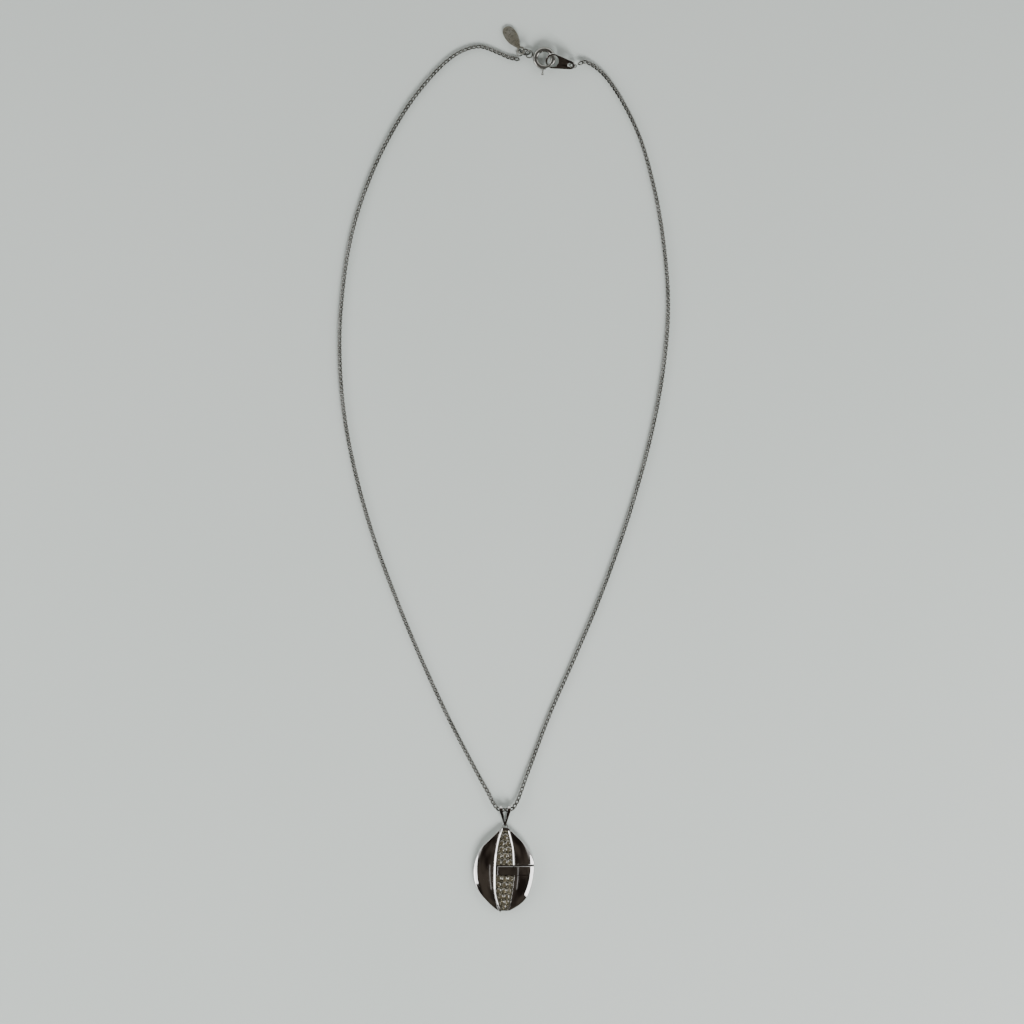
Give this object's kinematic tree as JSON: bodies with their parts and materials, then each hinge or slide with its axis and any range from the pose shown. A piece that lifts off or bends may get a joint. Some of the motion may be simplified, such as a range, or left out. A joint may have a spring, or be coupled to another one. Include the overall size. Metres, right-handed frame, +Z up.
{
  "type": "pendant necklace",
  "caption": "Fine necklace lying flat, closed by a spring-ring clasp, with a domed two-lobed pave pendant that swings on a split bail.",
  "frame": {"origin": "bottom centre of the whole, on the surface that the necklace lies on", "axes": "+Z up from that surface, +Y from the pendant towards the clasp, +X to the right seen from above"},
  "size_m": [0.0866, 0.2302, 0.0033],
  "materials": {
    "plated_metal": "mirror-polished bright plating",
    "chain_metal": "polished bright plating",
    "bed_metal": "bright plating between the stones",
    "spring_steel": "drawn wire",
    "stone": "faceted, pale champagne tint"
  },
  "bodies": {
    "chain": {"chain": "chain_metal", "chain_end_ring_left": "plated_metal", "chain_end_ring_right": "plated_metal"},
    "jump_ring": {"jump_ring": "plated_metal"},
    "hang_tag": {"hang_tag": "plated_metal"},
    "clasp": {"clasp_tube": "plated_metal", "clasp_eye": "plated_metal", "clasp_spring": "spring_steel"},
    "trigger": {"clasp_bolt": "plated_metal"},
    "chain_tab": {"chain_tab": "plated_metal"},
    "bail": {"bail": "plated_metal"},
    "pendant": {"pendant_back_plate": "plated_metal", "left_lobe": "plated_metal", "left_channel_wall": "plated_metal", "right_channel_wall": "plated_metal", "upper_right_lobe": "plated_metal", "lower_right_lobe": "plated_metal", "upper_pave_bed": "bed_metal", "lower_pave_bed": "bed_metal", "pendant_loop": "plated_metal", "upper_stone_01": "stone", "upper_stone_02": "stone", "upper_stone_03": "stone", "upper_stone_04": "stone", "upper_stone_05": "stone", "upper_stone_06": "stone", "upper_stone_07": "stone", "upper_stone_08": "stone", "upper_stone_09": "stone", "upper_stone_10": "stone", "upper_stone_11": "stone", "lower_stone_01": "stone", "lower_stone_02": "stone", "lower_stone_03": "stone", "lower_stone_04": "stone", "lower_stone_05": "stone", "lower_stone_06": "stone", "lower_stone_07": "stone", "lower_stone_08": "stone", "lower_stone_09": "stone", "lower_stone_10": "stone", "lower_stone_11": "stone", "lower_stone_12": "stone", "lower_stone_13": "stone", "lower_stone_14": "stone"}
  },
  "joints": [
    {"name": "bail_swing", "type": "hinge", "parent": "chain", "child": "bail", "pos_m": [0.0003, -0.0882, 0.00127], "axis": [-1, 0, 0], "range_deg": [-100, 100]},
    {"name": "pendant_swing", "type": "hinge", "parent": "bail", "child": "pendant", "pos_m": [0.0003, -0.09202, 0.00067], "axis": [-1, 0, 0], "range_deg": [-75, 75]},
    {"name": "clasp_swing", "type": "hinge", "parent": "chain", "child": "clasp", "pos_m": [0.00653, 0.10817, 0.00083], "axis": [0, 0, 1], "range_deg": [-5, 6]},
    {"name": "tab_swing", "type": "hinge", "parent": "chain", "child": "chain_tab", "pos_m": [0.01713, 0.10529, 0.00144], "axis": [0, 0, 1], "range_deg": [-8.1, 8.1]},
    {"name": "clasp_trigger", "type": "hinge", "parent": "clasp", "child": "trigger", "pos_m": [0.0105, 0.107, 0.00125], "axis": [0.1045, 0, -0.9945], "range_deg": [0, 50], "stiffness_Nm_per_rad": 0.001, "springref_deg": -5.73, "deforming": ["clasp_spring"]},
    {"name": "tag_swing", "type": "hinge", "parent": "chain", "child": "hang_tag", "pos_m": [0.00441, 0.10905, 0.00151], "axis": [-0.0868, 0.1301, 0.9877], "range_deg": [-30, 30]},
    {"name": "jump_ring_turn", "type": "hinge", "parent": "chain", "child": "jump_ring", "pos_m": [0.00552, 0.10866, 0.00126], "axis": [-0.1763, -0.8295, 0.5299], "continuous": true}
  ],
  "couplings": [
    {"joint": "tab_swing", "follows": "clasp_swing", "ratio": -1.34}
  ]
}
